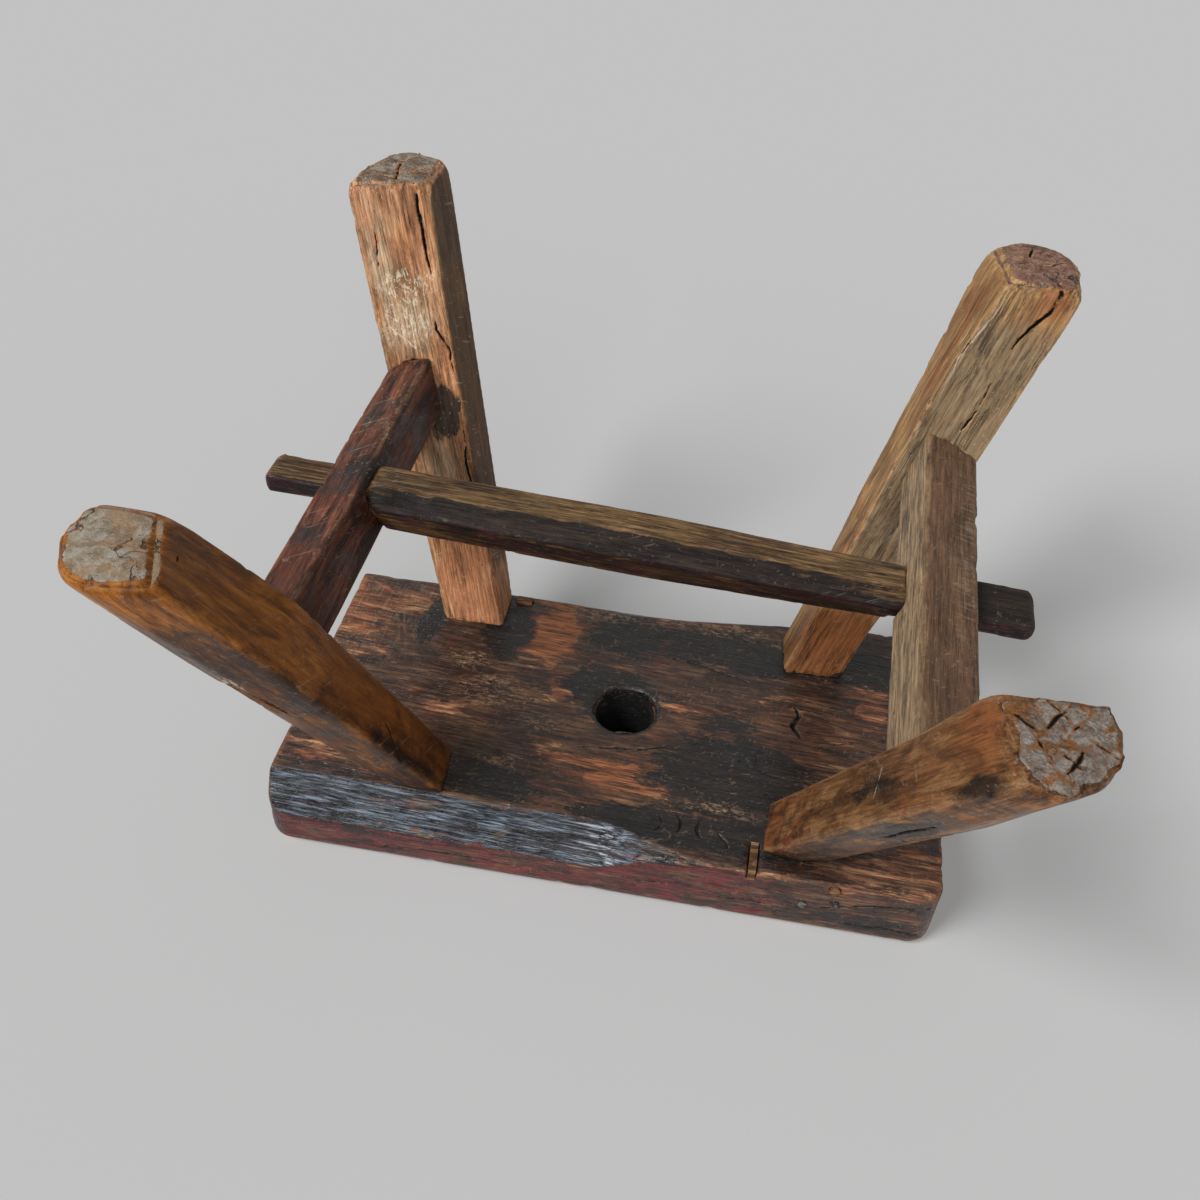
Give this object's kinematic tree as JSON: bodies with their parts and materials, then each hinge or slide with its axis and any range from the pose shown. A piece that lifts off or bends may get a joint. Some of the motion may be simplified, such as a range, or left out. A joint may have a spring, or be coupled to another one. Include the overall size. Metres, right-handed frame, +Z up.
{
  "type": "stool",
  "caption": "Low hand-made wooden stool: thick plank seat with a finger hole, splayed legs tenoned through it, side rails and a long rail with projecting tenons.",
  "frame": {"origin": "on the floor under the middle of the stool's footprint; the seat's middle is 6 mm along +X and 8 mm along +Y from it, as the legs splay unevenly", "axes": "+Z up, +X along the seat's length to the stool's right as seen from its front, -Y to the front"},
  "size_m": [0.4752, 0.4777, 0.312],
  "materials": {
    "seat_wood": "worn dark lacquer over brown wood, with bare patches",
    "leg_wood": "worn golden brown varnish, grey end grain at the feet",
    "side_rail_wood": "dark brown, weathered",
    "long_rail_wood": "golden brown and charcoal facets, worn",
    "pale_wood": "bare, pale",
    "nail_iron": "dull grey"
  },
  "bodies": {
    "root": {"seat": "seat_wood", "leg_front_left": "leg_wood", "leg_front_right": "leg_wood", "leg_back_left": "leg_wood", "leg_back_right": "leg_wood", "wedge_front_left": "pale_wood", "wedge_front_right": "pale_wood", "wedge_back_left": "pale_wood", "wedge_back_right": "pale_wood", "side_rail_left": "side_rail_wood", "side_rail_right": "side_rail_wood", "long_rail": "long_rail_wood", "shim_front_left": "pale_wood", "shim_back_right": "pale_wood", "edge_peg": "pale_wood", "edge_nails": "nail_iron"}
  },
  "joints": []
}
